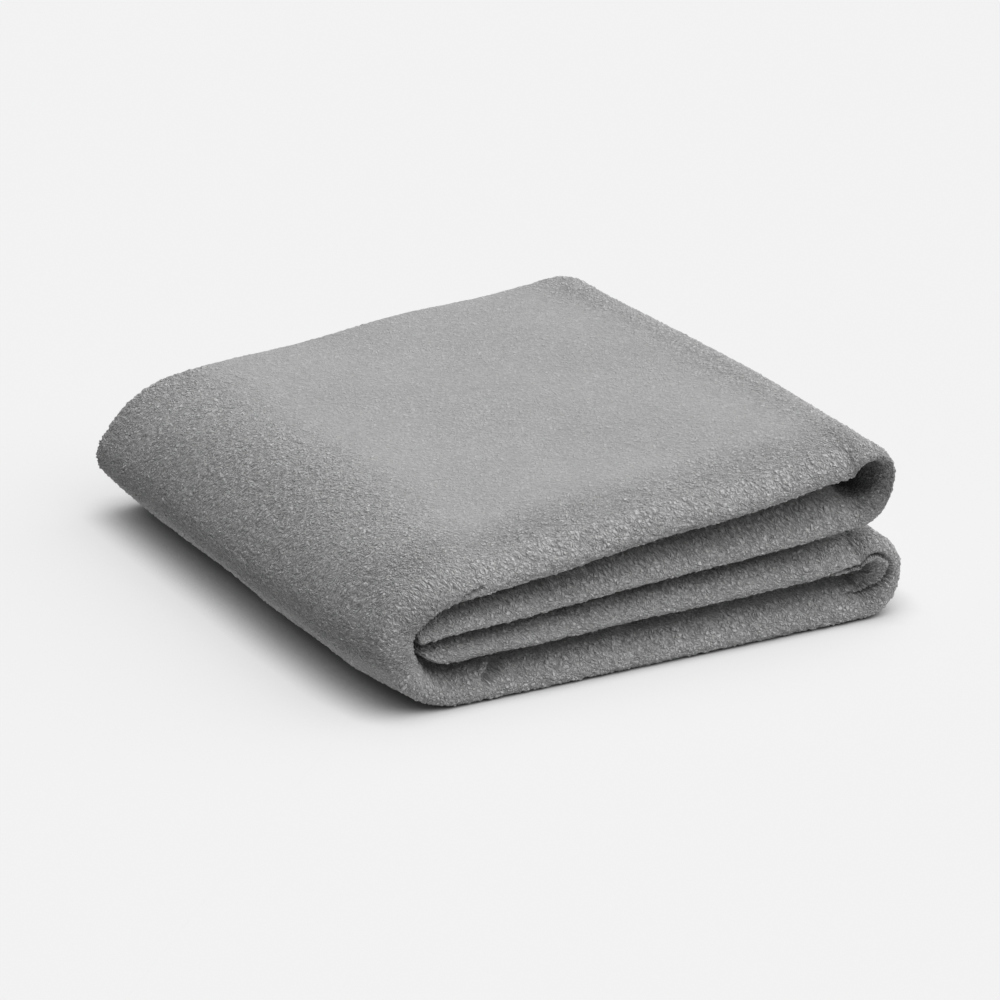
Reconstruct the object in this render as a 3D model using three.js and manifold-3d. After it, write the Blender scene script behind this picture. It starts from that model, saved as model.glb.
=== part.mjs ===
// A fleece throw blanket, folded and lying flat.
//
// One sheet of fleece is folded in four lengthwise, with all its front edges round, into a strip.
// Both ends of the strip fold in to the middle, and the strip then closes like a book, with the
// free ends tucked into the round spine.
// X runs from the round spine (-X) to the two end folds (+X), Y from the round front edges (-Y)
// to the hemmed back edges (+Y), and Z is up. The origin is the middle of the base.
// Each node is the cloth between two fold lines, its hem or its label. Units are millimetres.

import * as THREE from 'three';
import * as BufferGeometryUtils from 'three/addons/utils/BufferGeometryUtils.js';
import Module from 'manifold-3d';

const wasm = await Module();
wasm.setup();

// Driving sizes
const foldedWidth = 352; // X, from the spine to the end folds
const foldedDepth = 380; // Y, from the front edges to the back fold
const clothThickness = 6.7; // one ply, with the pile on both faces
const plyGap = 0.3; // air between two plies of one layer
const layerGap = 0.5; // air between two layers
const foldGap = 0.3; // clearance between the nodes that meet at a fold line
const tuckClearance = 0.6; // between the tucked free ends and the inside of the spine
const hemSetBack = 3; // how far the free edges stop short of the back fold
const hemDepth = 2.4; // how far the stitching wraps over a free edge
const labelWidth = 32;
const labelThickness = 0.8;
const labelInset = 46; // from the spine end of the top panel to the label
const labelClearance = 0.4; // between the label and the cloth behind it
const stitchDiameter = 1;
const stitchCount = 5;

// Facets
const plyFoldSteps = 8; // in each half-round edge of a ply
const bendSteps = 14; // around the spine and the end folds
const tuckSides = 48; // all the way round, of which the free ends show a quarter
const stitchSides = 8;

// Sizes that follow from them
const plyPitch = clothThickness + plyGap;
const layerHeight = 4 * clothThickness + 3 * plyGap;
const foldedHeight = 4 * layerHeight + 3 * layerGap;
const spineRadius = foldedHeight / 2;
const endFoldRadius = layerHeight + layerGap / 2;
const spineCentreX = -foldedWidth / 2 + spineRadius;
const endFoldCentreX = foldedWidth / 2 - endFoldRadius;
const panelStartX = spineCentreX + foldGap;
const panelEndX = endFoldCentreX - foldGap;
const tuckRadius = spineRadius - layerHeight - tuckClearance;
const frontY = -foldedDepth / 2;
const backY = foldedDepth / 2;
const hemY = backY - hemSetBack;
const clothEdgeY = hemY - hemDepth;

// Heights at which the four layers start, from the floor up
const layerBase = [0, 1, 2, 3].map((layer) => layer * (layerHeight + layerGap));

const fleece = { color: 0x9a9a9a, roughness: 0.95, metalness: 0 };
const hemThread = { color: 0x8c8c8c, roughness: 0.8, metalness: 0 };
const labelSatin = { color: 0xd8d8d6, roughness: 0.45, metalness: 0 };

const blanket = new THREE.Group();

function addMesh(name, geometry, finish) {
  const mesh = new THREE.Mesh(geometry, new THREE.MeshStandardMaterial(finish));
  mesh.name = name;
  blanket.add(mesh);
  return mesh;
}

// Middle of a ply, measured inwards from the outer face of its layer
const plyMiddle = (ply) => ply * plyPitch + clothThickness / 2;

// A half turn of the ply's centreline from one ply to another, bulging towards side (-1 front, 1 back).
// Each point holds its place along Y, its depth into the layer and the direction of travel.
function plyFold(fromPly, toPly, side, foldY) {
  const middle = (plyMiddle(fromPly) + plyMiddle(toPly)) / 2;
  const reach = plyMiddle(fromPly) - middle;
  const centreY = foldY - side * (Math.abs(reach) + clothThickness / 2);
  return Array.from({ length: plyFoldSteps + 1 }, (_, step) => {
    const turn = (Math.PI * step) / plyFoldSteps;
    return {
      y: centreY + side * Math.abs(reach) * Math.sin(turn),
      depth: middle + reach * Math.cos(turn),
      alongY: side * Math.cos(turn),
      alongDepth: -Math.sign(reach) * Math.sin(turn),
    };
  });
}

// Section of the strip: from one free edge (third ply) round the inner front fold to the second ply,
// round the back fold to the outer ply, and round the outer front fold to the other free edge.
function stripSection() {
  const innerFrontY = frontY + plyPitch;
  const centreline = [
    { y: clothEdgeY, depth: plyMiddle(2), alongY: -1, alongDepth: 0 },
    ...plyFold(2, 1, -1, innerFrontY),
    ...plyFold(1, 0, 1, backY),
    ...plyFold(0, 3, -1, frontY),
    { y: clothEdgeY, depth: plyMiddle(3), alongY: 1, alongDepth: 0 },
  ];
  const offset = (side) => (point) =>
    new THREE.Vector2(
      point.y - (side * point.alongDepth * clothThickness) / 2,
      point.depth + (side * point.alongY * clothThickness) / 2,
    );
  return [...centreline.map(offset(1)), ...centreline.map(offset(-1)).reverse()];
}

// Half-round stitching over the free edge of one ply
function hemSection(ply) {
  const radius = clothThickness / 2;
  const startY = clothEdgeY + foldGap;
  return Array.from({ length: plyFoldSteps + 1 }, (_, step) => {
    const turn = (Math.PI * step) / plyFoldSteps;
    return new THREE.Vector2(
      startY + (hemDepth - foldGap) * Math.sin(turn),
      plyMiddle(ply) - radius * Math.cos(turn),
    );
  });
}

// Closed solid through the same section at each station. A station is the place of the layer's
// outer face in X and Z, and the direction that points into the layer.
function carrySection(section, stations) {
  const corners = section.length;
  const positions = [];
  for (const { x, z, inX, inZ } of stations) {
    for (const point of section) {
      positions.push(x + inX * point.y, point.x, z + inZ * point.y);
    }
  }
  const faces = [];
  for (let station = 0; station < stations.length - 1; station += 1) {
    for (let corner = 0; corner < corners; corner += 1) {
      const a = station * corners + corner;
      const b = station * corners + ((corner + 1) % corners);
      faces.push([a, b, b + corners], [a, b + corners, a + corners]);
    }
  }
  const last = (stations.length - 1) * corners;
  for (const triangle of THREE.ShapeUtils.triangulateShape(section, [])) {
    const sameTurn =
      THREE.ShapeUtils.isClockWise(triangle.map((corner) => section[corner])) ===
      THREE.ShapeUtils.isClockWise(section);
    const [a, b, c] = sameTurn ? triangle : triangle.toReversed();
    faces.push([a, c, b], [last + a, last + b, last + c]);
  }
  const geometry = new THREE.BufferGeometry();
  geometry.setAttribute('position', new THREE.Float32BufferAttribute(positions, 3));
  geometry.setIndex(faces.flat());
  if (enclosedVolume(positions, faces) < 0) {
    geometry.setIndex(faces.map(([a, b, c]) => [a, c, b]).flat());
  }
  geometry.computeVertexNormals();
  return geometry;
}

function toSolid(geometry) {
  const bare = geometry.index ? geometry.clone() : geometry;
  for (const attribute of ['normal', 'uv']) bare.deleteAttribute(attribute);
  const merged = BufferGeometryUtils.mergeVertices(bare);
  const { array } = merged.getAttribute('position');
  const mesh = new wasm.Mesh({
    numProp: 3,
    vertProperties: new Float32Array(array),
    triVerts: new Uint32Array(merged.index.array),
  });
  return new wasm.Manifold(mesh);
}

function toGeometry(solid) {
  const { vertProperties, triVerts } = solid.getMesh();
  const geometry = new THREE.BufferGeometry();
  geometry.setAttribute('position', new THREE.BufferAttribute(vertProperties, 3));
  geometry.setIndex(new THREE.BufferAttribute(triVerts, 1));
  geometry.computeVertexNormals();
  return geometry;
}

// Six times the volume inside the faces, negative where they point inwards
function enclosedVolume(positions, faces) {
  const corner = (index) => new THREE.Vector3().fromArray(positions, 3 * index);
  return faces.reduce((sum, [a, b, c]) => sum + corner(a).dot(corner(b).cross(corner(c))), 0);
}

// Stations of a flat layer: its outer face lies at height z and the layer is above or below it
const flatLayer = (startX, endX, z, inZ) => [startX, endX].map((x) => ({ x, z, inX: 0, inZ }));

// Stations of a half-round bend about a line along Y, with the outer face at the radius.
// It bulges towards side (-1 to the spine, 1 to the end folds).
const bend = (centreX, centreZ, radius, side) =>
  Array.from({ length: bendSteps + 1 }, (_, step) => {
    const turn = (Math.PI * step) / bendSteps;
    const inX = -side * Math.sin(turn);
    const inZ = Math.cos(turn);
    return { x: centreX - inX * radius, z: centreZ - inZ * radius, inX, inZ };
  });

// Every stretch of cloth with the stations that it is carried along
const stretches = [
  { name: 'bottom_panel', stations: flatLayer(panelStartX, panelEndX, layerBase[0], 1) },
  {
    name: 'lower_end_fold',
    stations: bend(endFoldCentreX, layerBase[0] + endFoldRadius, endFoldRadius, 1),
  },
  { name: 'spine_fold', stations: bend(spineCentreX, foldedHeight / 2, spineRadius, -1) },
  {
    name: 'upper_end_fold',
    stations: bend(endFoldCentreX, layerBase[2] + endFoldRadius, endFoldRadius, 1),
  },
  { name: 'top_panel', stations: flatLayer(panelStartX, panelEndX, foldedHeight, -1) },
];

for (const { name, stations } of stretches) {
  addMesh(`${name}_cloth`, carrySection(stripSection(), stations), fleece);
  addMesh(`${name}_first_hem`, carrySection(hemSection(2), stations), hemThread);
  addMesh(`${name}_second_hem`, carrySection(hemSection(3), stations), hemThread);
}

// A round bar along the inside of the spine
function spineCore(radius) {
  const bar = new THREE.CylinderGeometry(radius, radius, 2 * foldedDepth, tuckSides);
  bar.translate(spineCentreX, 0, foldedHeight / 2);
  return toSolid(bar);
}

// Everything on the end fold's side of x, from the floor to the top
function beyond(x) {
  const box = new THREE.BoxGeometry(foldedWidth, 2 * foldedDepth, 2 * foldedHeight);
  box.translate(x + foldedWidth / 2, 0, foldedHeight / 2);
  return toSolid(box);
}

// The two flaps run from the end folds back to the spine. Their free ends are pressed into it, so
// the plies end one past another along its curve, and stitching wraps them all.
const flaps = [
  { name: 'lower_flap', outerZ: layerBase[1] + layerHeight, inZ: -1 },
  { name: 'upper_flap', outerZ: layerBase[2], inZ: 1 },
];
const clothCore = spineCore(tuckRadius - hemDepth);
const hemCore = spineCore(tuckRadius);
const clothSpace = clothCore.add(beyond(panelStartX));
const hemSpace = hemCore.subtract(spineCore(tuckRadius - hemDepth + foldGap));
const edgeSpace = clothCore.add(beyond(panelStartX)).add(hemCore);

for (const { name, outerZ, inZ } of flaps) {
  const stations = flatLayer(-foldedWidth / 2, panelEndX, outerZ, inZ);
  const strip = toSolid(carrySection(stripSection(), stations));
  const keep = (space) => toGeometry(strip.intersect(space));
  const hem = (ply) => toGeometry(toSolid(carrySection(hemSection(ply), stations)).intersect(edgeSpace));
  addMesh(`${name}_cloth`, keep(clothSpace), fleece);
  addMesh(`${name}_first_hem`, hem(2), hemThread);
  addMesh(`${name}_second_hem`, hem(3), hemThread);
  addMesh(`${name}_end_hem`, keep(hemSpace.subtract(beyond(panelStartX - foldGap))), hemThread);
}

// Blank label that hangs from the innermost hem of the top panel, in the recess behind the hems,
// and ends above the back fold of the upper flap
const labelX = panelStartX + labelInset;
const labelBackY = hemY + labelClearance;
const labelTopZ = foldedHeight - plyMiddle(3);
const labelBottomZ = layerBase[2] + 2 * plyPitch + labelClearance;
const labelLength = labelTopZ - labelBottomZ;
const labelBox = new THREE.BoxGeometry(labelWidth, labelThickness, labelLength);
const label = addMesh('care_label', labelBox, labelSatin);
label.position.set(
  labelX + labelWidth / 2,
  labelBackY + labelThickness / 2,
  (labelTopZ + labelBottomZ) / 2,
);

// Stitches that hold the label's top edge
for (let stitch = 0; stitch < stitchCount; stitch += 1) {
  const stitchLength = (labelWidth / stitchCount) * 0.6;
  const thread = new THREE.CylinderGeometry(
    stitchDiameter / 2,
    stitchDiameter / 2,
    stitchLength,
    stitchSides,
  );
  const mesh = addMesh(`label_stitch_${stitch + 1}`, thread, hemThread);
  mesh.rotation.z = Math.PI / 2;
  mesh.position.set(
    labelX + ((stitch + 0.5) * labelWidth) / stitchCount,
    labelBackY + labelThickness + plyGap + stitchDiameter / 2,
    labelTopZ - stitchDiameter,
  );
}

export default blanket;
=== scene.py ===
import math

import bpy
import numpy as np
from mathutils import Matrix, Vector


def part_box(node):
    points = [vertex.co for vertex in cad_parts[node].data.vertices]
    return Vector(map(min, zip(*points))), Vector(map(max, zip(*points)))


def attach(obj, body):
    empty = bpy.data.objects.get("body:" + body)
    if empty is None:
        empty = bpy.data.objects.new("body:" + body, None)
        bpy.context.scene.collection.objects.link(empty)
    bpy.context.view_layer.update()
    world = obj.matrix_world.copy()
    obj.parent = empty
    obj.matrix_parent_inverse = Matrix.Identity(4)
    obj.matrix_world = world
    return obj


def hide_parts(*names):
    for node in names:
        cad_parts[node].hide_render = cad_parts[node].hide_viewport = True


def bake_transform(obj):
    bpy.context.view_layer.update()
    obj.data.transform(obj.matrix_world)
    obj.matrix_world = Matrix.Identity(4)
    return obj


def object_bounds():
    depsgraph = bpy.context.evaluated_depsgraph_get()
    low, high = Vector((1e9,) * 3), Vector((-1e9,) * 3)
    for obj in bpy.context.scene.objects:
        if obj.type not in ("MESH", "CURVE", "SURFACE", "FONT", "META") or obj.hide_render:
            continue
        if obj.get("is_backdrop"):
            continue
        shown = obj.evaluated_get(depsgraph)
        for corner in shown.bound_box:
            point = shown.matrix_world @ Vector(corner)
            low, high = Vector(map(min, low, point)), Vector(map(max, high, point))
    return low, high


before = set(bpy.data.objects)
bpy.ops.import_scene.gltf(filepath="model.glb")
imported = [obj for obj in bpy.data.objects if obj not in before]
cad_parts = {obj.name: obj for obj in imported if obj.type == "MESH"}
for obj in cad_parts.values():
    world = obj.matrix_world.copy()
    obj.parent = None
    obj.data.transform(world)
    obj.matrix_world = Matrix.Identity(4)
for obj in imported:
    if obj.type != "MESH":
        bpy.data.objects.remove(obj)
cadLow, cadHigh = (np.array(corner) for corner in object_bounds())
mm = 0.001


def nodeSize(node):
    low, high = (np.array(corner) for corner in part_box(node))
    return high - low


# The folded throw as the frame gives it. Everything below follows from these.
throw = {
    "height": cadHigh[2] - cadLow[2],
    "ply": nodeSize("top_panel_first_hem")[2],
    "layer": nodeSize("top_panel_cloth")[2],
    "edgeY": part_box("top_panel_first_hem")[0].y,
    "hemY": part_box("top_panel_first_hem")[1].y,
}
throw["pitch"] = (throw["layer"] - throw["ply"]) / 3
throw["gap"] = (throw["height"] - 4 * throw["layer"]) / 3
throw["endRadius"] = throw["layer"] + throw["gap"] / 2

# How the soft throw differs from its neat frame
drape = {
    "spineReach": 66 * mm,  # how far the round spine takes up along X
    "spineSquare": 2.2,  # 2 is an ellipse, more is squarer
    "frontReach": 0.45,  # depth of the round front edges, in half circles
    "nearLevels": (0, 27 * mm, 43 * mm, 61.5 * mm, 88.5 * mm),  # where the layers meet, at the spine
    "farLevels": (0, 31 * mm, 57.5 * mm, 91 * mm, 112.8 * mm),  # the same at the end folds
    "levelReach": (-0.6, 1.1),  # how far the levels slope on, as shares of the way between the two
    "backSink": 0.088,  # how much lower the throw lies at its back, as a share
    "edgeSink": 0.014,  # the same towards every edge
    "edgePower": 5,  # more keeps that closer to the edges
    "frontCorner": (12 * mm, 60 * mm),  # how far the spine's front corner is pulled in, from where
    "backCorner": (5 * mm, 70 * mm),
    "frontLift": 5 * mm,  # how much higher the end folds stand at the front than behind it
    "liftBetween": (10 * mm, -150 * mm),  # where along Y that grows
    "upperShift": 1.5 * mm,  # how far the top layer lies out, to the end
    "lowerShift": (10 * mm, -8 * mm),  # how far the lowest layer lies out, to the end and the front
    "lipDroop": 0.44,  # how far the upper side of a front edge hangs, as a share of its layer
    "lipRecess": 13 * mm,  # how far its upper side lies behind its lip
    "lipPower": 1.7,  # 1 is a straight slope behind the lip, more is rounder
    "flapRecess": 11 * mm,  # how much more that is on the upper flap, under the top layer
    "flapBetween": (-30 * mm, 60 * mm),  # where along the upper flap that grows
    "lipFrom": 50 * mm,  # how far behind the front that starts
    "waveHeight": 0.9 * mm,  # slow waves over the top
    "waves": ((21 * mm, 33 * mm, 0.4, 1.0), (47 * mm, -26 * mm, 2.0, 0.6)),  # reach x, y, turn, share
    "frontRipple": 0.35 * mm,  # how far the front edges weave in and out
    "ripples": ((15.5 * mm, 2.1, 1.0), (7.8 * mm, 1.3, 0.6)),  # reach x, turn for each layer, share
    "spineSwell": 2.2 * mm,  # height of the soft bulges along the spine
    "bulges": ((19 * mm, 24 * mm, 0.0), (34 * mm, -30 * mm, 1.3)),  # reach y, reach along, turn
    "tipClear": 2 * mm,  # how far the free ends stay from the spine's cloth
    "tuckFade": 70 * mm,  # how far from its free end a flap is squeezed by the spine
    "tuckGaps": 1.2,  # how many gaps between layers the squeezed plies fill
    "tuckLimit": 0.995,  # how much of the spine's inner half they may fill
}


# 0 before the first edge, 1 past the second, with a soft step between them
def smooth(edge0, edge1, value):
    t = np.clip((value - edge0) / (edge1 - edge0), 0, 1)
    return t * t * (3 - 2 * t)


# How many points a bend and a straight run of the path have
pathSteps = {"turn": 400, "straight": 200}


# Outer face of the strip seen along Y, from the lower flap's free end round the lower end fold, under
# the throw, round the spine (a half superellipse), over the top and round to the upper flap's free
# end. Columns: x, z, and the direction into the layer.
def outerPath():
    spineX = cadLow[0] + drape["spineReach"]
    half = throw["height"] / 2
    radius = throw["endRadius"]
    endX = cadHigh[0] - radius
    tipX = spineX - (drape["spineReach"] - throw["layer"]) + drape["tipClear"]
    turn = np.linspace(0, np.pi, pathSteps["turn"])
    power = 2 / drape["spineSquare"]

    def straight(fromX, toX, z, inZ):
        x = np.linspace(fromX, toX, pathSteps["straight"])
        return np.stack([x, z + 0 * x, 0 * x, inZ + 0 * x], 1)

    def endFold(centreZ, up):
        inX, inZ = -np.sin(turn), up * np.cos(turn)
        return np.stack([endX - inX * radius, centreZ - inZ * radius, inX, inZ], 1)

    def spine():
        x = spineX - drape["spineReach"] * np.sin(turn) ** power
        z = half - half * np.sign(np.cos(turn)) * np.abs(np.cos(turn)) ** power
        alongX, alongZ = np.gradient(x), np.gradient(z)
        length = np.hypot(alongX, alongZ)
        return np.stack([x, z, alongZ / length, -alongX / length], 1)

    parts = {
        "lower_flap": straight(tipX, endX, half - throw["gap"] / 2, -1),
        "lower_end_fold": endFold(radius, -1),
        "bottom_panel": straight(endX, spineX, 0, 1),
        "spine_fold": spine(),
        "top_panel": straight(spineX, endX, 2 * half, -1),
        "upper_end_fold": endFold(2 * half - radius, -1),
        "upper_flap": straight(endX, tipX, half + throw["gap"] / 2, 1),
    }
    table = np.concatenate([part[:-1] for part in parts.values()])
    steps = np.hypot(*np.diff(table[:, :2], axis=0).T)
    length = np.concatenate([[0], np.cumsum(steps)])
    ends = np.cumsum([0] + [len(part) - 1 for part in parts.values()])
    ends[-1] = len(table) - 1
    spans = {name: (length[ends[i]], length[ends[i + 1]]) for i, name in enumerate(parts)}
    return length, table, spans


pathLength, pathTable, pathSpans = outerPath()


# Place, height and inward direction of the outer face at each length along the strip
def stationsAt(lengths):
    columns = [np.interp(lengths, pathLength, pathTable[:, i]) for i in range(4)]
    x, z, inX, inZ = columns
    size = np.hypot(inX, inZ)
    return x, z, inX / size, inZ / size


# One ply's half turn from one level to another, bulging to side (-1 front, 1 back): a half circle
# that may be flattened along Y. Columns: place along Y, depth in the layer, travel direction.
def plyFold(fromPly, toPly, side, foldY, reach, count):
    fromDepth, toDepth = (ply * throw["pitch"] + throw["ply"] / 2 for ply in (fromPly, toPly))
    middle, radius = (fromDepth + toDepth) / 2, abs(fromDepth - toDepth) / 2
    turn = np.linspace(0, np.pi, count)
    centreY = foldY - side * (radius + throw["ply"] / 2) * reach
    y = centreY + side * reach * radius * np.sin(turn)
    depth = middle + (fromDepth - middle) * np.cos(turn)
    alongY, alongDepth = side * np.cos(turn), -np.sign(fromDepth - middle) * np.sin(turn)
    return np.stack([y, depth, alongY, alongDepth], 1)


# Straight run of a ply between two places along Y
def plyRun(ply, fromY, toY, count):
    y = np.linspace(fromY, toY, count)
    level = np.full(count, ply * throw["pitch"] + throw["ply"] / 2)
    return np.stack([y, level, np.full(count, np.sign(toY - fromY)), np.zeros(count)], 1)


# How many points the bends of a section have, the pitch round its front fold, and between which
# places behind that fold its painted shade grows
bends = {
    "innerFold": 7,
    "backFold": 16,
    "hiddenFrontFold": 10,
    "frontPitch": 1.3 * mm,
    "paintedShadeBetween": (-2 * mm, 14 * mm),
}


# One face of the folded ply, from its free edge at the back round all its folds to the other one:
# side 1 is the face that ends outside, -1 the hidden one. Columns: y, depth, distance along the
# cloth, how much of the pile shows there and how far inside the layer's own fold it lies, which sets its
# painted shade.
def sectionFace(side, skinPitch, coarse, innerFine):
    reach = drape["frontReach"]
    innerFrontY = cadLow[1] + throw["pitch"] * reach
    foldDepth = throw["layer"] / 2 * reach
    backY = cadHigh[1]
    frontTurn = cadLow[1] + foldDepth
    innerTurn = innerFrontY + (throw["pitch"] / 2 + throw["ply"] / 2) * reach
    backTurn = backY - throw["pitch"] / 2 - throw["ply"] / 2
    shown = side > 0
    skinCount = int((backTurn - frontTurn) / skinPitch) if shown else coarse
    arcLength = np.pi * throw["layer"] / 2
    arcCount = int(arcLength / min(skinPitch, bends["frontPitch"])) if shown else bends["hiddenFrontFold"]
    fineCount = int(innerFine / skinPitch) + 1 if shown else 2
    runs = [
        (plyRun(2, throw["edgeY"], innerTurn, coarse), 0),
        (plyFold(2, 1, -1, innerFrontY, reach, bends["innerFold"]), 0),
        (plyRun(1, innerTurn, backTurn, coarse), 0),
        (plyFold(1, 0, 1, backY, 1, bends["backFold"]), 1),
        (plyRun(0, backTurn, frontTurn, skinCount), 1),
        (plyFold(0, 3, -1, cadLow[1], reach, arcCount), 1),
        (plyRun(3, frontTurn, frontTurn + innerFine, fineCount), 1),
        (plyRun(3, frontTurn + innerFine, throw["edgeY"], coarse), 0),
    ]
    points = np.concatenate([run[1 if i else 0 :] for i, (run, _) in enumerate(runs)])

    def eachRun(values):
        return np.concatenate([np.full(len(run) - (i > 0), values[i]) for i, (run, _) in enumerate(runs)])

    shows = eachRun([on for _, on in runs]) * float(shown)
    # Painted shade on the inner ply behind the front fold, faded in along Y; only the upper end fold uses
    # it
    inside = eachRun([0, 0, 0, 0, 0, 0, 1, 1]) * float(shown)
    paintedShadeFrom, paintedShadeTo = (frontTurn + place for place in bends["paintedShadeBetween"])
    inside = inside * smooth(paintedShadeFrom, paintedShadeTo, points[:, 0])
    across = np.concatenate([[0], np.cumsum(np.hypot(*np.diff(points[:, :2], axis=0).T))])
    y = points[:, 0] - side * points[:, 3] * throw["ply"] / 2 * np.where(points[:, 0] < 0, reach, 1)
    depth = points[:, 1] + side * points[:, 2] * throw["ply"] / 2
    return np.stack([y, depth, across, shows, inside], 1)


# Sum of sine waves: each has the phase it is given and a share of the height
def waving(phasesAndShares):
    return sum(share * np.sin(phase) for phase, share in phasesAndShares)


# From the neat frame to the throw as it lies. The height is interpolated between the levels that the
# four layers have at the spine and at the end folds, so they never pass through each other. Then the
# end folds are lifted in front, the back and the edges sink, the spine's corners are pulled in along
# X, the lowest layers are shifted out and slow waves run through it all.
def settle(points):
    x, y, z = points[..., 0], points[..., 1], points[..., 2]
    spineX = cadLow[0] + drape["spineReach"]
    far = (x - spineX) / (cadHigh[0] - spineX)
    knots = np.array([0, 1, 2, 3, 4]) * (throw["layer"] + throw["gap"]) - throw["gap"] / 2
    knots[0], knots[-1] = 0, throw["height"]
    layer = np.interp(z, knots, range(5))
    reach = np.clip(far, *drape["levelReach"])
    share, low = z / throw["height"], 1 - z / throw["height"]

    near = np.interp(layer, range(5), drape["nearLevels"])
    height = near + (np.interp(layer, range(5), drape["farLevels"]) - near) * reach
    height = height * (1 - drape["backSink"] * smooth(0, cadHigh[1], y))
    lift = drape["frontLift"] * (smooth(*drape["liftBetween"], y) - 0.5) * np.clip(far, 0, 1)
    height = height + lift * share
    outwards = np.maximum(np.abs(x / cadHigh[0]), np.abs(y / cadHigh[1])) ** drape["edgePower"]
    height = height * (1 - drape["edgeSink"] * outwards)
    waves = waving((x / alongX + y / alongY + turn, part) for alongX, alongY, turn, part in drape["waves"])
    height = height + drape["waveHeight"] * waves * share

    inwards = np.clip((spineX - x) / drape["spineReach"], 0, 1.2)
    frontPull, frontFrom = drape["frontCorner"]
    backPull, backFrom = drape["backCorner"]
    pull = frontPull * smooth(cadLow[1] + frontFrom, cadLow[1], y)
    pull = pull + backPull * smooth(cadHigh[1] - backFrom, cadHigh[1], y)
    shiftX = (drape["lowerShift"][0] * low + drape["upperShift"] * share) * np.clip(far, 0, 1)
    ripple = waving((x / along + turn * layer, part) for along, turn, part in drape["ripples"])
    front = smooth(cadLow[1] + drape["lipFrom"], cadLow[1], y) * smooth(0, throw["layer"], z)
    shiftY = drape["lowerShift"][1] * low + drape["frontRipple"] * ripple * front
    return np.stack([x + pull * inwards + shiftX, y + shiftY, height], -1)


# Where the strip turns round an end fold, its front is squeezed thin and leaves a hollow: how thin,
# how long it is along the strip, how deep along Y and how far past the middle of the turn it lies
hollows = {
    "upper_end_fold": {"thin": 0.80, "length": 34 * mm, "deep": 190 * mm, "late": 7 * mm},
    "lower_end_fold": {"thin": 0.32, "length": 26 * mm, "deep": 40 * mm, "late": 0},
}
hollowPower = 1.6  # 1 is a plain bell, more has a flatter middle


# Share of the layer's thickness that is left: 1 less a bell along the strip times a soft step along Y
def thinning(lengths, y):
    factor = np.ones(np.broadcast(lengths, y).shape)
    for name, hollow in hollows.items():
        middle = sum(pathSpans[name]) / 2 + hollow["late"]
        near = np.exp(-((((lengths - middle) / hollow["length"]) ** 2) ** hollowPower))
        factor = factor - hollow["thin"] * near * smooth(cadLow[1] + hollow["deep"], cadLow[1], y)
    return factor


# Creases in the round front edges: each runs along the strip between two places, at a share of the
# layer's depth that may change from its start to its end. Lengths are in millimetres.
creases = [
    {"stretch": "lower_end_fold", "from": -35, "to": 46, "depths": (1.0, 0.48), "push": 7, "wide": 0.06},
    {"stretch": "lower_end_fold", "from": 34, "to": 104, "depths": (0.45, 0.85), "push": 7, "wide": 0.06},
    {"stretch": "bottom_panel", "from": 230, "to": 250, "depths": (1.0, 0.55), "push": 10, "wide": 0.13},
    {"stretch": "top_panel", "from": -6, "to": 16, "depths": (0.85, 0.60), "push": 3, "wide": 0.06},
]
creaseFade = {"behind": 22 * mm, "before": 4 * mm, "ends": 0.3}  # from the front, and share of length


# How far each crease pushes the front back: a bell across the layer's depth, whose middle moves along
# the crease, times a window that fades out at its ends
def creasing(lengths, y, share):
    front = smooth(cadLow[1] + creaseFade["behind"], cadLow[1] + creaseFade["before"], y)
    pushed = np.zeros(np.broadcast(lengths, y, share).shape)
    for crease in creases:
        start = pathSpans[crease["stretch"]][0] + crease["from"] * mm
        length = (crease["to"] - crease["from"]) * mm
        along = (lengths - start) / length
        fromDepth, toDepth = crease["depths"]
        middle = fromDepth + (toDepth - fromDepth) * np.clip(along, 0, 1)
        window = smooth(0, creaseFade["ends"], along) * smooth(1, 1 - creaseFade["ends"], along)
        bell = np.exp(-(((share - middle) / crease["wide"]) ** 2))
        pushed = pushed + crease["push"] * mm * window * bell
    return pushed * front


# The pile is pressed down to a share on the flat top. Towards the front, the spine and the ends it
# begins to stand up at the first place and stands fully at the second.
pressed = {
    "flat": 0.40,
    "front": (52 * mm, 8 * mm),
    "spine": (34 * mm, -12 * mm),
    "end": (25 * mm, 10 * mm),
}


# How much the pile stands: the largest of three soft steps towards the front, the spine and the ends
def standing(x, y):
    frontFrom, frontTo = (cadLow[1] + place for place in pressed["front"])
    spineFrom, spineTo = (cadLow[0] + drape["spineReach"] + place for place in pressed["spine"])
    endFrom, endTo = pressed["end"]
    front = smooth(frontFrom, frontTo, y)
    spine = smooth(spineFrom, spineTo, x)
    end = smooth(cadHigh[0] - throw["endRadius"] - endFrom, cadHigh[0] - endTo, x)
    return pressed["flat"] + (1 - pressed["flat"]) * np.maximum(np.maximum(front, spine), end)


# Curly pile as one height field over the whole cloth: filtered random values, whose size (root of
# the absolute value) makes round tufts with narrow valleys
pile = {
    "seed": 7,
    "pitch": 0.7 * mm,
    "size": (1.5, 1.7),  # of the cloth that it covers
    "tuft": 1.1,  # size of a tuft, in pitches
    "spread": 2.2,  # size of the widest swell that is left out, in tufts
    "height": 1.15 * mm,
}


def pileField():
    rows, columns = (int(length / pile["pitch"]) for length in pile["size"])
    noise = np.random.default_rng(pile["seed"]).standard_normal((rows, columns))
    rate = np.hypot(np.fft.fftfreq(rows)[:, None], np.fft.rfftfreq(columns)[None, :])
    band = np.exp(-((2 * np.pi * rate * pile["tuft"]) ** 2) / 2)
    band = band - np.exp(-((2 * np.pi * rate * pile["tuft"] * pile["spread"]) ** 2) / 2)
    field = np.fft.irfft2(np.fft.rfft2(noise) * band, (rows, columns))
    tufts = np.sqrt(np.abs(field / field.std()))
    return tufts - tufts.mean()


pileHeights = pileField()


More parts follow.
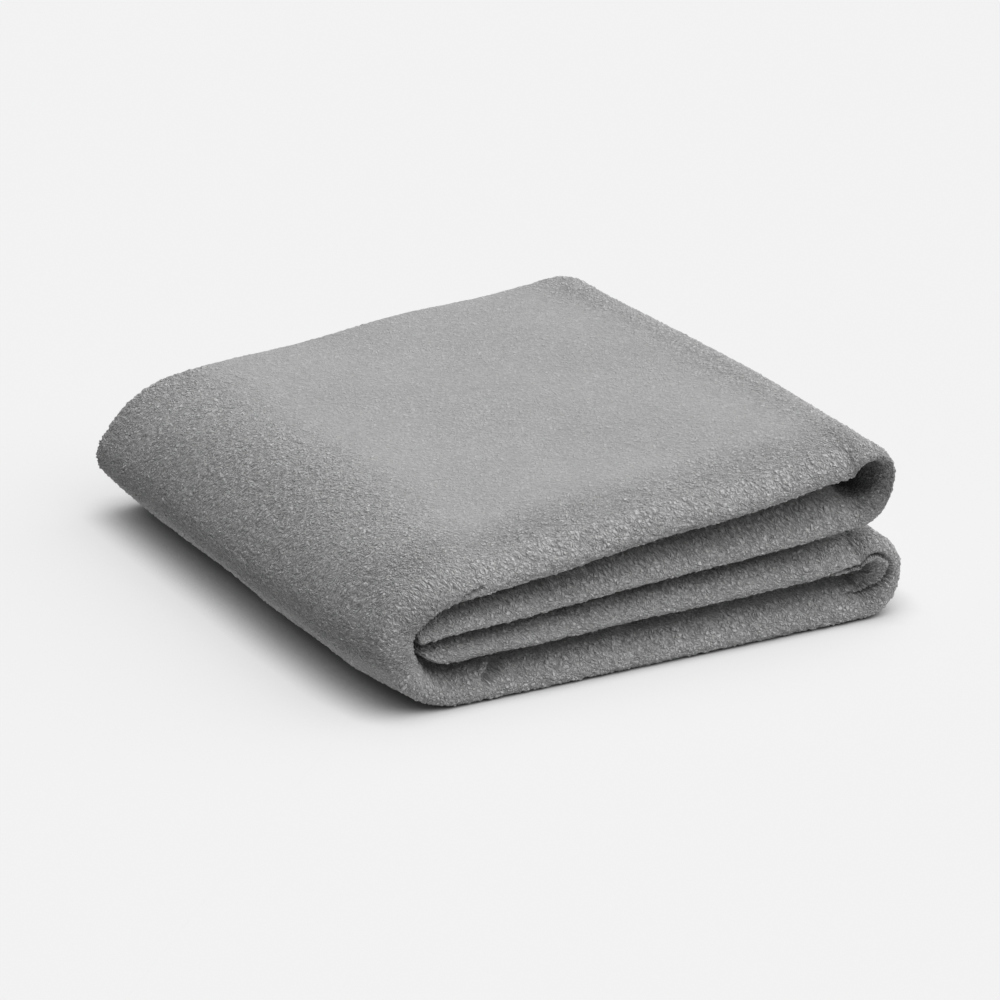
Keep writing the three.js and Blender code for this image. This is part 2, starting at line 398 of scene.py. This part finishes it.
# Height of the pile at a place on the cloth, interpolated between the four values round it
def pileAt(along, across):
    i, j = along / pile["pitch"], across / pile["pitch"]
    i0, j0 = np.floor(i).astype(int), np.floor(j).astype(int)
    a, b = i - i0, j - j0
    rows, columns = pileHeights.shape

    def at(di, dj):
        return pileHeights[(i0 + di) % rows, (j0 + dj) % columns]

    near = at(0, 0) * (1 - a) + at(1, 0) * a
    return near * (1 - b) + (at(0, 1) * (1 - a) + at(1, 1) * a) * b


# Soft bulges of the spine: two slow waves that cross, whose sum is brought to between 0 and 1 so that
# they only swell outwards, faded out towards the panels by a squared sine
def swelling(lengths, y):
    start, end = pathSpans["spine_fold"]
    along = np.clip((lengths - start) / (end - start), 0, 1)
    wave = waving((y / reach + lengths / far + turn, 1) for reach, far, turn in drape["bulges"])
    return drape["spineSwell"] * (0.5 + 0.25 * wave) * np.sin(np.pi * along) ** 2


# Point at a length along the strip, a place along Y and a depth into the layer, before it settles: the
# outer face's point plus the depth along its inward direction. Each front edge hangs over the layer
# below: its lip is at its underside, and the higher a point lies in its layer, the further it is
# behind the lip and the lower it hangs.
def framePoint(name, lengths, y, depth):
    x, z, inX, inZ = stationsAt(lengths)
    share = np.clip(depth / throw["layer"], 0, 1)
    front = smooth(cadLow[1] + drape["lipFrom"], cadLow[1], y)
    high = 0.5 + (share - 0.5) * inZ
    flapFrom, flapTo = (pathSpans["upper_flap"][0] + place for place in drape["flapBetween"])
    onFlap = smooth(flapFrom, flapTo, lengths)
    recess = (drape["lipRecess"] + drape["flapRecess"] * onFlap) * np.abs(inZ) * front
    recess = recess * high ** drape["lipPower"]
    hang = drape["lipDroop"] * throw["layer"] * front * high * inZ**2
    depth = (depth - hang * inZ) * thinning(lengths, y)
    if name.endswith("flap"):
        x = x + tuck(lengths, depth, name)
    depth = depth - swelling(lengths, y)
    y = y + recess + creasing(lengths, y, share)
    return np.stack([x + inX * depth, y, z + inZ * depth], -1)


# The free ends are pressed into the spine, so deeper plies end sooner: by the spine's own superellipse,
# faded out away from the tip
def tuck(lengths, depth, name):
    start, end = pathSpans[name]
    fromTip = lengths - start if name == "lower_flap" else end - lengths
    innerReach = drape["spineReach"] - throw["layer"] - drape["tipClear"]
    innerHalf = throw["layer"] + drape["tuckGaps"] * throw["gap"]
    share = np.clip(depth / innerHalf, 0, drape["tuckLimit"])
    back = innerReach * (1 - (1 - share ** drape["spineSquare"]) ** (1 / drape["spineSquare"]))
    return back * (1 - smooth(0, drape["tuckFade"], fromTip))


# Outward normals of a grid whose columns close on themselves: the cross product of its two
# directions, turned so that they point away from what it encloses
def gridNormals(points):
    wrapped = np.concatenate([points[:, -1:], points, points[:, :1]], 1)
    normals = np.cross(np.gradient(wrapped, axis=1)[:, 1:-1], np.gradient(points, axis=0))
    normals = normals * np.sign(np.sum(normals * points))
    return normals / np.maximum(np.linalg.norm(normals, axis=-1, keepdims=True), 1e-12)


coarseCount = 14  # points along a run that no one sees


# Cloth between two lengths along the strip: the section's two faces carried along the path, closed
# at both ends. Rows run along the strip, columns round the ply. One more row at each end gives the
# normals that the neighbouring stretch has there.
def clothPiece(name, rowPitch, skinPitch, innerFine):
    start, end = pathSpans[name]
    count = int((end - start) / rowPitch) + 1
    step = (end - start) / (count - 1)
    lengths = (start + step * np.arange(-1, count + 1))[:, None]
    skin, hidden = (sectionFace(side, skinPitch, coarseCount, innerFine) for side in (1, -1))
    ring = np.concatenate([skin, hidden[::-1]])
    y, depth, across, shown = (ring[None, :, i] + 0 * lengths for i in range(4))
    points = settle(framePoint(name, lengths + 0 * y, y, depth))
    stand = standing(points[..., 0], points[..., 1])
    tufts = pileAt(lengths + 0 * y, across) * shown * stand
    points = points + gridNormals(points) * (pile["height"] * tufts)[..., None]
    normals = gridNormals(points)
    along = lengths + 0 * across
    # Painted shade inside the upper end fold's hollow, on the inner ply that faces it
    paintedHollowShade = ring[None, :, 4] * (name == "upper_end_fold") + 0 * lengths
    kept = (points, normals, along, across, tufts, stand, paintedHollowShade)
    return gridPiece(name + "_fleece", *(values[1:-1] for values in kept))


# Puts a grid whose columns close on themselves into a mesh, with its cloth coordinates and pile
def gridPiece(name, points, normals, along, across, tufts, stand, paintedHollowShade):
    rows, columns = points.shape[:2]
    corner = np.arange(rows * columns).reshape(rows, columns)
    a, b = corner[:-1], np.roll(corner, -1, 1)[:-1]
    c, d = np.roll(corner, -1, 1)[1:], corner[1:]
    quads = np.stack([a, b, c, d], -1).reshape(-1, 4)
    caps = [corner[0][::-1], corner[-1]]
    if enclosed(points.reshape(-1, 3), np.concatenate([quads[:, :3], quads[:, [0, 2, 3]]])) < 0:
        quads, caps = quads[:, ::-1], [cap[::-1] for cap in caps]
    mesh = bpy.data.meshes.new(name)
    mesh.from_pydata(points.reshape(-1, 3).tolist(), [], quads.tolist() + [cap.tolist() for cap in caps])
    layer = mesh.uv_layers.new(name="clothMap")
    index = np.zeros(len(mesh.loops), np.int32)
    mesh.loops.foreach_get("vertex_index", index)
    uv = np.stack([along.ravel(), across.ravel()], 1)[index]
    layer.data.foreach_set("uv", uv.ravel().astype(np.float32))
    for title, values in (("pileHeight", tufts), ("pileStand", stand), ("paintedHollowShade", paintedHollowShade)):
        attribute = mesh.attributes.new(title, "FLOAT", "POINT")
        attribute.data.foreach_set("value", values.ravel().astype(np.float32))
    mesh.polygons.foreach_set("use_smooth", [True] * len(mesh.polygons))
    mesh.update()
    cornerNormals = normals.reshape(-1, 3)[index]
    ends = 2 * columns
    capNormals = [mesh.polygons[-2].normal, mesh.polygons[-1].normal]
    cornerNormals[-ends:] = np.repeat(np.array([list(n) for n in capNormals]), columns, 0)
    mesh.normals_split_custom_set(cornerNormals.tolist())
    piece = bpy.data.objects.new(name, mesh)
    bpy.context.scene.collection.objects.link(piece)
    print(name, len(mesh.vertices), "points")
    return piece


# Six times the volume inside a set of triangles, negative where they point inwards
def enclosed(places, triangles):
    a, b, c = places[triangles].transpose(1, 0, 2)
    return np.einsum("ij,ij->i", a, np.cross(b, c)).sum()


# A shader socket with arithmetic: an expression on values adds its Math nodes
class Value:
    def __init__(self, shader, socket):
        self.shader, self.socket = shader, socket

    def math(self, operation, *others):
        inputs = dict(enumerate((self, *others)))
        return self.shader.node("Math", {"operation": operation}, inputs)

    def __add__(self, other):
        return self.math("ADD", other)

    def __mul__(self, other):
        return self.math("MULTIPLY", other)

    def __sub__(self, other):
        return self.math("SUBTRACT", other)

    def ramp(self, low, high, toLow=0.0, toHigh=1.0):
        inputs = {"Value": self, 1: low, 2: high, 3: toLow, 4: toHigh}
        return self.shader.node("MapRange", {"clamp": True}, inputs)


class Shader:
    def __init__(self, name):
        self.material = bpy.data.materials.new(name)
        self.material.use_nodes = True
        self.nodes = self.material.node_tree.nodes
        self.links = self.material.node_tree.links
        self.surface = next(n for n in self.nodes if n.type == "BSDF_PRINCIPLED")

    def put(self, socket, value):
        if isinstance(value, Value):
            self.links.new(value.socket, socket)
        else:
            socket.default_value = value

    def node(self, kind, settings, inputs, output=0):
        added = self.nodes.new("ShaderNode" + kind)
        for key, value in settings.items():
            setattr(added, key, value)
        for key, value in inputs.items():
            self.put(added.inputs[key], value)
        return Value(self, added.outputs[output])

    def finish(self, **sockets):
        for key, value in sockets.items():
            self.put(self.surface.inputs[key.replace("_", " ")], value)
        return self.material

    # A place moved by a noise's colour, which is about a half each way
    def shifted(self, place, noise, size):
        centred = self.node("VectorMath", {"operation": "SUBTRACT"}, {0: noise, 1: (0.5, 0.5, 0.5)})
        scaled = self.node("VectorMath", {"operation": "SCALE"}, {0: centred, "Scale": 2 * size})
        return self.node("VectorMath", {"operation": "ADD"}, {0: place, 1: scaled})

    def grey(self, dark, light, share):
        inputs = {"Factor": share, "A": (*dark, 1), "B": (*light, 1)}
        added = self.nodes.new("ShaderNodeMix")
        added.data_type = "RGBA"
        for key, value in inputs.items():
            socket = [i for i in added.inputs if i.name == key and i.enabled][0]
            self.put(socket, value)
        return Value(self, [o for o in added.outputs if o.enabled][0])


fleece = {
    # From valley to tip: the grey range, whose dark end is painted shade in the pile's valleys
    "valley": (0.095, 0.095, 0.095),
    "tip": (0.66, 0.66, 0.66),
    "ground": 0.31,  # share of the tip's colour before the pile adds to it
    "tufts": 0.38,  # what the tufts add from valley to tip
    "tuftLimits": (-0.6, 0.6),  # heights of the pile that count as valley and tip
    "standing": 0.20,  # what standing pile adds everywhere, to make up for its own shadows
    # Curls: painted shade along each curl's edge, the narrow valley between curls
    "curls": 0.56,
    "curlEdge": 0.46,  # how far into a curl its dark edge reaches
    "curlShades": (-0.55, 0.45),  # what its edge and its middle count for
    "fibres": 0.15,
    "mottle": 0.10,
    # Painted shade: the colour taken off inside the upper end fold's hollow
    "paintedHollowShade": 0.42,  # what is taken off inside the end fold's hollow
    "curlsPerMetre": 410,
    "bendsPerMetre": 320,
    "bendSize": 2.7 * mm,
    "fibresPerMetre": 1600,
    "mottlesPerMetre": 26,
    "roughness": 0.95,
    "sheen": 0.45,
    "sheenRoughness": 0.45,
    "bump": 1.0,
    "bumpHeight": 1.6 * mm,
    "curlShare": 0.82,  # of the bump, the rest is single fibres
}


# Fleece: pale tuft tips over valleys darkened by painted shade. Finer curls, cells of a bent pattern
# with painted shade along their edges, and single fibres show in the colour and the bump where the pile
# stands.
def fleeceMaterial():
    shader = Shader("greyFleece")
    cloth = shader.node("UVMap", {"uv_map": "clothMap"}, {})
    height, stand, paintedHollowShade = (
        shader.node("Attribute", {"attribute_name": title}, {}, "Fac")
        for title in ("pileHeight", "pileStand", "paintedHollowShade")
    )

    def noise(perMetre, output=0):
        return shader.node("TexNoise", {}, {"Vector": cloth, "Scale": perMetre, "Detail": 2.0}, output)

    bent = shader.shifted(cloth, noise(fleece["bendsPerMetre"], 1), fleece["bendSize"])
    cells = {"Vector": bent, "Scale": fleece["curlsPerMetre"]}
    curls = shader.node("TexVoronoi", {"feature": "DISTANCE_TO_EDGE"}, cells)
    curls = curls.ramp(0.0, fleece["curlEdge"])
    fibres = noise(fleece["fibresPerMetre"])
    # Curl edges darker: painted shade in the valleys between curls
    fine = curls.ramp(0.0, 1.0, *fleece["curlShades"]) * fleece["curls"]
    fine = fine + fibres.ramp(0.3, 0.7, -0.5, 0.5) * fleece["fibres"] + fleece["standing"]
    # Tufts darker where the pile is low: painted shade in its valleys
    shade = height.ramp(*fleece["tuftLimits"], -0.5, 0.5) * fleece["tufts"] + fine * stand
    shade = shade + noise(fleece["mottlesPerMetre"]) * fleece["mottle"] + fleece["ground"]
    # Painted shade inside the upper end fold's hollow is taken off the colour here
    colour = shader.grey(fleece["valley"], fleece["tip"], shade - paintedHollowShade * fleece["paintedHollowShade"])
    relief = (curls * fleece["curlShare"] + fibres * (1 - fleece["curlShare"])) * stand
    bumpInputs = {"Strength": fleece["bump"], "Distance": fleece["bumpHeight"], "Height": relief}
    return shader.finish(
        Base_Color=colour,
        Roughness=fleece["roughness"],
        Sheen_Weight=fleece["sheen"],
        Sheen_Roughness=fleece["sheenRoughness"],
        Normal=shader.node("Bump", {}, bumpInputs),
    )


thread = {
    "dark": (0.13, 0.13, 0.13),
    "light": (0.30, 0.30, 0.30),
    # Furrows: painted shade between the loops of thread
    "furrows": 0.75,  # share of the furrows in the colour, the rest is single strands
    "strandsPerMetre": 900,
    "roughness": 0.7,
    "bump": 0.3,
    "bumpHeight": 0.2 * mm,
}


# Hem thread: painted shade in each loop's furrow, with single strands across it
def threadMaterial():
    shader = Shader("greyHemThread")
    cloth = shader.node("UVMap", {"uv_map": "clothMap"}, {})
    furrow = shader.node("Attribute", {"attribute_name": "pileHeight"}, {}, "Fac")
    noiseInputs = {"Vector": cloth, "Scale": thread["strandsPerMetre"], "Detail": 2.0}
    strands = shader.node("TexNoise", {}, noiseInputs)
    # Painted shade in each loop's furrow
    share = furrow.ramp(-1.0, 1.0) * thread["furrows"]
    share = share + strands.ramp(0.3, 0.7) * (1 - thread["furrows"])
    bumpInputs = {"Strength": thread["bump"], "Distance": thread["bumpHeight"], "Height": strands}
    return shader.finish(
        Base_Color=shader.grey(thread["dark"], thread["light"], share),
        Roughness=thread["roughness"],
        Normal=shader.node("Bump", {}, bumpInputs),
    )


satin = {
    "shade": (0.50, 0.50, 0.50),
    "light": (0.62, 0.62, 0.61),
    "ribScale": 130,
    "ribs": 0.6,  # what a rib adds from shade to light
    "ground": 0.2,  # share of the light before that
    "roughness": 0.42,
    "bump": 0.2,
    "bumpHeight": 0.1 * mm,
}


# Label satin: fine woven ribs across the ribbon, with a painted highlight on each rib and painted shade
# between them
def satinMaterial():
    shader = Shader("blankLabelSatin")
    cloth = shader.node("UVMap", {"uv_map": "clothMap"}, {})
    waveInputs = {"Vector": cloth, "Scale": satin["ribScale"]}
    ribs = shader.node("TexWave", {"bands_direction": "Y"}, waveInputs, "Fac")
    # Painted highlight on the ribs and painted shade between them
    share = ribs * satin["ribs"] + satin["ground"]
    bumpInputs = {"Strength": satin["bump"], "Distance": satin["bumpHeight"], "Height": ribs}
    return shader.finish(
        Base_Color=shader.grey(satin["shade"], satin["light"], share),
        Roughness=satin["roughness"],
        Normal=shader.node("Bump", {}, bumpInputs),
    )


greyFleece = fleeceMaterial()
greyThread = threadMaterial()
labelSatin = satinMaterial()
print("fleece, thread and satin are mixed")

# Each stretch of cloth: the pitch of its rows, the pitch round the ply and how far into the front fold
# it stays fine. Stretches that are mostly hidden are coarser.
finePitch, hiddenPitch, shallow = 1.0 * mm, 3.5 * mm, 14 * mm
lowerStretches = {
    "lower_flap": (1.2 * mm, hiddenPitch, shallow),
    "lower_end_fold": (finePitch, finePitch, 45 * mm),
    "bottom_panel": (1.2 * mm, hiddenPitch, shallow),
}
upperStretches = {
    "upper_flap": (1.2 * mm, hiddenPitch, shallow),
    "upper_end_fold": (finePitch, finePitch, 60 * mm),
    "top_panel": (1.3 * mm, 1.25 * mm, shallow),
}
spineStretch = (1.08 * mm, 1.08 * mm, shallow)

hem = {
    "height": 0.35 * mm,  # how much a loop of thread swells
    "loop": 2.6 * mm,  # from one loop to the next
    "slant": 0.9,  # how many loops the thread leans over, from face to face
    "clear": 0.15 * mm,  # how far the thread lies off the cloth's edge
    "rowPitch": 0.65 * mm,
    "turnCount": 13,
    "endPitch": 0.91 * mm,  # pitch of the rows round a free end
    "endBulge": 1.4 * mm,  # how far the thread bulges there
    "endSwell": 0.08,  # how much a loop swells over the faces there, as a share
    "endCount": 40,
}


# Overlock stitching round the free edge of a ply: a half round carried along the edge, whose radius
# swells with each slanted loop of thread
def hemPiece(name, ply, title):
    start, end = pathSpans[name]
    lengths = np.linspace(start, end, int((end - start) / hem["rowPitch"]))[:, None]
    turn = np.linspace(0, np.pi, hem["turnCount"])[None, :]
    loops = np.cos(2 * np.pi * (lengths / hem["loop"] + hem["slant"] * turn / np.pi))
    swell = hem["height"] * loops * np.sin(turn) ** 0.5
    reach = throw["hemY"] - throw["edgeY"]
    y = throw["edgeY"] + hem["clear"] + (reach + swell) * np.sin(turn)
    middle = ply * throw["pitch"] + throw["ply"] / 2
    depth = middle - (throw["ply"] / 2 + swell) * np.cos(turn)
    points = settle(framePoint(name, lengths + 0 * y, y, depth))
    return threadPiece(title, points, lengths + 0 * y, turn * throw["ply"] / 2 + 0 * y, loops + 0 * y)


# The same stitching round the free end of a flap, along the middle of the folded ply
def endHemPiece(name, title):
    start, end = pathSpans[name]
    tip = start if name == "lower_flap" else end
    faces = [sectionFace(side, hiddenPitch, hem["endCount"], shallow) for side in (1, -1)]
    reach = faces[0][-1, 2]
    along = np.linspace(0, reach, int(reach / hem["endPitch"]))[:, None]
    skin, hidden = (
        np.stack([np.interp(along, face[:, 2], face[:, i]) for i in (0, 1)]) for face in faces
    )
    middle, half = (skin + hidden) / 2, (skin - hidden) / 2
    turn = np.linspace(0, np.pi, hem["turnCount"])[None, :]
    loops = np.cos(2 * np.pi * (along / hem["loop"] + hem["slant"] * turn / np.pi))
    grow = 1 + hem["endSwell"] * loops * np.sin(turn)
    y, depth = (middle[i] + half[i] * np.cos(turn) * grow for i in (0, 1))
    outwards = -(hem["endBulge"] + hem["height"] * loops) * np.sin(turn)
    points = framePoint(name, tip + 0 * y, y, depth)
    points[..., 0] += outwards
    return threadPiece(title, settle(points), along + 0 * y, turn * throw["ply"] / 2 + 0 * y, loops)


def threadPiece(title, points, along, across, loops):
    plain = (0 * across, 0 * across)
    piece = gridPiece(title, points, gridNormals(points), along, across, loops + 0 * across, *plain)
    piece.data.materials.append(greyThread)
    return piece


def hemPieces(name):
    pieces = []
    for ply, order in ((2, "first"), (3, "second")):
        piece = hemPiece(name, ply, f"{name}_{order}_hem_stitching")
        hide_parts(f"{name}_{order}_hem")
        pieces.append(piece)
    if name.endswith("flap"):
        pieces.append(endHemPiece(name, name + "_end_hem_stitching"))
        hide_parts(name + "_end_hem")
    return pieces


label = {
    "thick": 0.5 * mm,
    "wave": 0.7 * mm,  # how far its lower edge waves
    "waveReach": 6 * mm,
    "clear": 0.6 * mm,  # how far it hangs off the hems
    "rows": 60,
    "columns": 40,
}


# Blank satin ribbon: a flat ring, the two faces of the ribbon, carried down from the hem, with a
# slow wave across it
def labelPiece():
    low, high = (np.array(corner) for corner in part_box("care_label"))
    x = np.linspace(low[0], high[0], label["columns"])
    ring = np.concatenate([x, x[::-1]])[None, :]
    side = np.repeat([1.0, -1.0], label["columns"])[None, :]
    down = np.linspace(0, high[2] - low[2], label["rows"])[:, None]
    wave = label["wave"] * np.sin((ring - low[0]) / label["waveReach"]) * (down / down.max())
    y = (low[1] + high[1]) / 2 + side * label["thick"] / 2 + wave + label["clear"]
    points = settle(np.stack([ring + 0 * y, y, high[2] - down + 0 * y], -1))
    piece = gridPiece(
        "blank_satin_label", points, gridNormals(points), ring + 0 * y, down + 0 * y, 0 * y, 0 * y, 0 * y
    )
    piece.data.materials.append(labelSatin)
    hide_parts("care_label")
    return piece


stitch = {
    "count": 5,
    "bow": 0.5 * mm,  # how far its ends dip towards the label
    "slant": 0.35 * mm,
    "blunt": 8,  # more makes its ends blunter
    "tip": 0.02,  # what is left of its thickness at the very end, squared
    "rows": 15,
    "sides": 12,
}


# One stitch over the label's top edge: a thread, round in section, that bows out at its middle by a
# parabola and ends blunt
def labelStitch(number):
    node = f"label_stitch_{number}"
    low, high = (np.array(corner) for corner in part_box(node))
    radius = (high[2] - low[2]) / 2
    t = np.linspace(-1, 1, stitch["rows"])[:, None]
    thick = radius * np.sqrt(np.maximum(1 - t ** stitch["blunt"], stitch["tip"]))
    turn = np.linspace(0, 2 * np.pi, stitch["sides"], endpoint=False)[None, :]
    x = (low[0] + high[0]) / 2 + t * (high[0] - low[0]) / 2 + 0 * turn
    y = (low[1] + high[1]) / 2 + thick * np.cos(turn) - stitch["bow"] * t**2
    z = (low[2] + high[2]) / 2 + thick * np.sin(turn) + stitch["slant"] * t
    points = settle(np.stack([x, y, z], -1))
    piece = threadPiece(node + "_thread", points, x, turn * radius + 0 * x, 0 * x)
    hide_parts(node)
    return piece


# Length of a stretch at the middle of its layer, where a bend is half a layer tighter
def middleLength(name):
    start, end = pathSpans[name]
    return float(end - start - (np.pi * throw["layer"] / 2 if name.endswith("fold") else 0))


# The cloth of a stretch with everything that is sewn to it
def addCloth(name, rowPitch, skinPitch, innerFine):
    piece = clothPiece(name, rowPitch, skinPitch, innerFine)
    piece.data.materials.append(greyFleece)
    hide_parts(name + "_cloth")
    extras = hemPieces(name)
    if name == "top_panel":
        extras += [labelPiece(), *(labelStitch(i + 1) for i in range(stitch["count"]))]
    middleLength(name)
    return [piece, *extras]


for body, stretches in (("lower_half", lowerStretches), ("upper_half", upperStretches)):
    for name, settings in stretches.items():
        for piece in addCloth(name, *settings):
            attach(piece, body)

# The spine's cloth bends between the levels where the inner layers meet the outer ones, the upper of
# them at the sunk back
for piece in addCloth("spine_fold", *spineStretch):
    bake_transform(piece)
print("cloth, hems and label are in place")

# Floor, light and camera, with angles in degrees
stage = {
    "floorSize": 60,
    "floorDrop": 0.6 * mm,  # how far the floor lies under the throw
    "floorGlow": 0.58,
    "floorGrey": 0.232,
    # Painted contact shadow: how near the throw the floor's glow fades
    "contact": 33 * mm,  # how near the throw the glow fades
    "contactShares": (0.2, 0.88),  # share of open sky with no glow, and with all of it
    "ambient": 0.08,
    "sunFrom": (0.46, -0.13, 0.88),
    "sunStrength": 4.5,
    "sunSpread": 98,  # width of the light in degrees, which softens its shadow
}
camera = {
    "azimuth": -28.17,
    "elevation": 21.85,
    "lens": 230,
    "distance": 3.893,
    "aim": (0.0100, -0.0082, 0.0388),
}


# The floor glows as a lit sweep does, so it stays pale and lights the throw's sides. The glow is a
# ramp of how open the floor is, so it fades where the throw stands near: a painted contact shadow.
def buildStage():
    bpy.ops.mesh.primitive_plane_add(size=stage["floorSize"], location=(0, 0, -stage["floorDrop"]))
    floor = bpy.context.object
    floor.name = "studio_floor"
    shader = Shader("studioFloor")
    # Painted contact shadow: ambient occlusion dims the floor's glow near the throw
    near = shader.node("AmbientOcclusion", {"samples": 8}, {"Distance": stage["contact"]}, "AO")
    floor.data.materials.append(
        shader.finish(
            Base_Color=(*[stage["floorGrey"]] * 3, 1),
            Roughness=1.0,
            Specular_IOR_Level=0.0,
            Emission_Color=shader.grey((0, 0, 0), (1, 1, 1), near.ramp(*stage["contactShares"])),
            Emission_Strength=stage["floorGlow"],
        )
    )
    floor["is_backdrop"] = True
    world = bpy.data.worlds.new("studio")
    world.use_nodes = True
    world.node_tree.nodes["Background"].inputs["Color"].default_value = (*[stage["ambient"]] * 3, 1)
    bpy.context.scene.world = world
    light = bpy.data.lights.new("sun", "SUN")
    light.angle = math.radians(stage["sunSpread"])
    light.energy = stage["sunStrength"]
    lamp = bpy.data.objects.new("sun", light)
    lamp.location = 3 * np.array(stage["sunFrom"])
    lamp.rotation_euler = lookAlong(-np.array(stage["sunFrom"]))
    bpy.context.scene.collection.objects.link(lamp)


# Turn that points a light or a camera along a direction
def lookAlong(direction):
    x, y, z = direction / np.linalg.norm(direction)
    return (math.acos(-z), 0.0, math.atan2(-x, y) if abs(x) + abs(y) > 1e-9 else 0.0)


def placeCamera():
    turn, rise = (math.radians(camera[key]) for key in ("azimuth", "elevation"))
    outwards = np.array([math.sin(turn) * math.cos(rise), -math.cos(turn) * math.cos(rise), math.sin(rise)])
    data = bpy.data.cameras.new("camera")
    data.lens, data.sensor_width = camera["lens"], 36
    data.clip_end = 100
    view = bpy.data.objects.new("camera", data)
    view.location = np.array(camera["aim"]) + outwards * camera["distance"]
    view.rotation_euler = lookAlong(-outwards)
    bpy.context.scene.collection.objects.link(view)
    bpy.context.scene.camera = view


buildStage()
placeCamera()
bpy.context.scene.view_settings.view_transform = "Standard"
print("floor, light and camera are in place")
